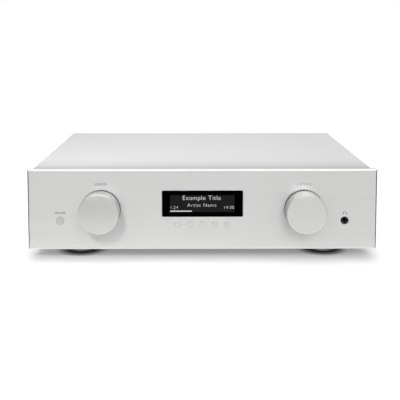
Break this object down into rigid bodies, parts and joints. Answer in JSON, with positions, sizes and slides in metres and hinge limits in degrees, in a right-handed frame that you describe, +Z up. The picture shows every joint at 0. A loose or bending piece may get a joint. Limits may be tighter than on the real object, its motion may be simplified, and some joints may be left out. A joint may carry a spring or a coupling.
{
  "type": "integrated amplifier",
  "caption": "Low, wide integrated amplifier with a thick silver front panel, large turned knobs, a display window, push keys, a folded cover, round feet, and loudspeaker and line sockets behind.",
  "frame": {"origin": "under the middle of the bounding box, on the surface that the feet stand on", "axes": "+X to the right as seen from the front, +Y from the front panel to the rear panel, +Z up"},
  "size_m": [0.43, 0.3972, 0.1127],
  "materials": {
    "panel_silver": "fine horizontal brushing, clear anodised",
    "knob_silver": "fine turned, clear anodised",
    "cover_silver": "satin silver paint",
    "zinc_steel": "zinc plated",
    "window_black": "polished smoked window",
    "black_plastic": "fine moulded texture",
    "black_rubber": "matt",
    "foot_grey": "satin grey",
    "bright_steel": "bright turned",
    "gold_brass": "gold plated",
    "board_green": "green solder mask",
    "wound_core": "wound in varnished tape",
    "heatsink_black": "black anodised",
    "capacitor_sleeve": "shrunk sleeve",
    "ribbon_grey": "ribbed grey insulation"
  },
  "bodies": {
    "chassis": {"front_panel": "panel_silver", "subpanel": "zinc_steel", "top_cover": "cover_silver", "chassis_tray": "zinc_steel", "rear_panel": "cover_silver", "foot_front_left": "foot_grey", "foot_front_right": "foot_grey", "foot_rear_left": "foot_grey", "foot_rear_right": "foot_grey", "foot_pad_front_left": "black_rubber", "foot_pad_front_right": "black_rubber", "foot_pad_rear_left": "black_rubber", "foot_pad_rear_right": "black_rubber", "input_encoder": "zinc_steel", "volume_encoder": "zinc_steel", "display_window": "window_black", "display_module": "black_plastic", "control_board": "board_green", "headphone_jack": "black_plastic", "mains_transformer": "wound_core", "transformer_plate": "bright_steel", "transformer_bolt": "bright_steel", "power_supply_board": "board_green", "smoothing_capacitor_left": "capacitor_sleeve", "smoothing_capacitor_right": "capacitor_sleeve", "heatsink_left": "heatsink_black", "heatsink_right": "heatsink_black", "amplifier_board_left": "board_green", "amplifier_board_right": "board_green", "socket_board": "board_green", "control_ribbon": "ribbon_grey", "mains_inlet": "black_plastic", "mains_switch_frame": "black_plastic", "terminal_plate": "black_plastic", "terminal_stud_1": "gold_brass", "terminal_stud_2": "gold_brass", "terminal_stud_3": "gold_brass", "terminal_stud_4": "gold_brass", "line_output_sockets": "black_plastic", "line_input_sockets": "black_plastic", "network_sockets": "bright_steel"},
    "input_control": {"input_knob": "knob_silver", "input_shaft": "bright_steel"},
    "volume_control": {"volume_knob": "knob_silver", "volume_shaft": "bright_steel"},
    "power_key": {"power_key": "knob_silver"},
    "menu_key_1": {"menu_key_1": "knob_silver"},
    "menu_key_2": {"menu_key_2": "knob_silver"},
    "menu_key_3": {"menu_key_3": "knob_silver"},
    "menu_key_4": {"menu_key_4": "knob_silver"},
    "menu_key_5": {"menu_key_5": "knob_silver"},
    "mains_rocker": {"mains_rocker": "black_plastic"},
    "terminal_washer_1": {"terminal_washer_1": "gold_brass"},
    "terminal_washer_2": {"terminal_washer_2": "gold_brass"},
    "terminal_washer_3": {"terminal_washer_3": "gold_brass"},
    "terminal_washer_4": {"terminal_washer_4": "gold_brass"},
    "terminal_cap_1": {"terminal_cap_1": "black_plastic"},
    "terminal_cap_2": {"terminal_cap_2": "black_plastic"},
    "terminal_cap_3": {"terminal_cap_3": "black_plastic"},
    "terminal_cap_4": {"terminal_cap_4": "black_plastic"}
  },
  "joints": [
    {"name": "input_turn", "type": "hinge", "parent": "chassis", "child": "input_control", "pos_m": [-0.125, -0.1696, 0.0632], "axis": [0, 1, 0], "continuous": true},
    {"name": "volume_turn", "type": "hinge", "parent": "chassis", "child": "volume_control", "pos_m": [0.125, -0.1696, 0.0632], "axis": [0, 1, 0], "continuous": true},
    {"name": "power_press", "type": "slide", "parent": "chassis", "child": "power_key", "axis": [0, 1, 0], "range_m": [0, 0.0008], "stiffness_N_per_m": 800},
    {"name": "menu_press_1", "type": "slide", "parent": "chassis", "child": "menu_key_1", "axis": [0, 1, 0], "range_m": [0, 0.0008], "stiffness_N_per_m": 600},
    {"name": "menu_press_2", "type": "slide", "parent": "chassis", "child": "menu_key_2", "axis": [0, 1, 0], "range_m": [0, 0.0008], "stiffness_N_per_m": 600},
    {"name": "menu_press_3", "type": "slide", "parent": "chassis", "child": "menu_key_3", "axis": [0, 1, 0], "range_m": [0, 0.0008], "stiffness_N_per_m": 600},
    {"name": "menu_press_4", "type": "slide", "parent": "chassis", "child": "menu_key_4", "axis": [0, 1, 0], "range_m": [0, 0.0008], "stiffness_N_per_m": 600},
    {"name": "menu_press_5", "type": "slide", "parent": "chassis", "child": "menu_key_5", "axis": [0, 1, 0], "range_m": [0, 0.0008], "stiffness_N_per_m": 600},
    {"name": "rocker_tilt", "type": "hinge", "parent": "chassis", "child": "mains_rocker", "pos_m": [-0.1239, 0.1722, 0.049], "axis": [1, 0, 0], "range_deg": [-18, 0]},
    {"name": "terminal_travel_1", "type": "slide", "parent": "chassis", "child": "terminal_washer_1", "axis": [0, 1, 0], "range_m": [0, 0.00401]},
    {"name": "terminal_travel_2", "type": "slide", "parent": "chassis", "child": "terminal_washer_2", "axis": [0, 1, 0], "range_m": [0, 0.00401]},
    {"name": "terminal_travel_3", "type": "slide", "parent": "chassis", "child": "terminal_washer_3", "axis": [0, 1, 0], "range_m": [0, 0.00401]},
    {"name": "terminal_travel_4", "type": "slide", "parent": "chassis", "child": "terminal_washer_4", "axis": [0, 1, 0], "range_m": [0, 0.00401]},
    {"name": "terminal_turn_1", "type": "hinge", "parent": "terminal_washer_1", "child": "terminal_cap_1", "pos_m": [-0.0931, 0.1806, 0.051], "axis": [0, 1, 0], "range_deg": [0, 1440]},
    {"name": "terminal_turn_2", "type": "hinge", "parent": "terminal_washer_2", "child": "terminal_cap_2", "pos_m": [-0.0711, 0.1806, 0.051], "axis": [0, 1, 0], "range_deg": [0, 1440]},
    {"name": "terminal_turn_3", "type": "hinge", "parent": "terminal_washer_3", "child": "terminal_cap_3", "pos_m": [-0.0411, 0.1806, 0.051], "axis": [0, 1, 0], "range_deg": [0, 1440]},
    {"name": "terminal_turn_4", "type": "hinge", "parent": "terminal_washer_4", "child": "terminal_cap_4", "pos_m": [-0.0191, 0.1806, 0.051], "axis": [0, 1, 0], "range_deg": [0, 1440]}
  ],
  "couplings": [
    {"joint": "terminal_travel_1", "follows": "terminal_turn_1", "m_per_rad": 0.00015915},
    {"joint": "terminal_travel_2", "follows": "terminal_turn_2", "m_per_rad": 0.00015915},
    {"joint": "terminal_travel_3", "follows": "terminal_turn_3", "m_per_rad": 0.00015915},
    {"joint": "terminal_travel_4", "follows": "terminal_turn_4", "m_per_rad": 0.00015915}
  ]
}
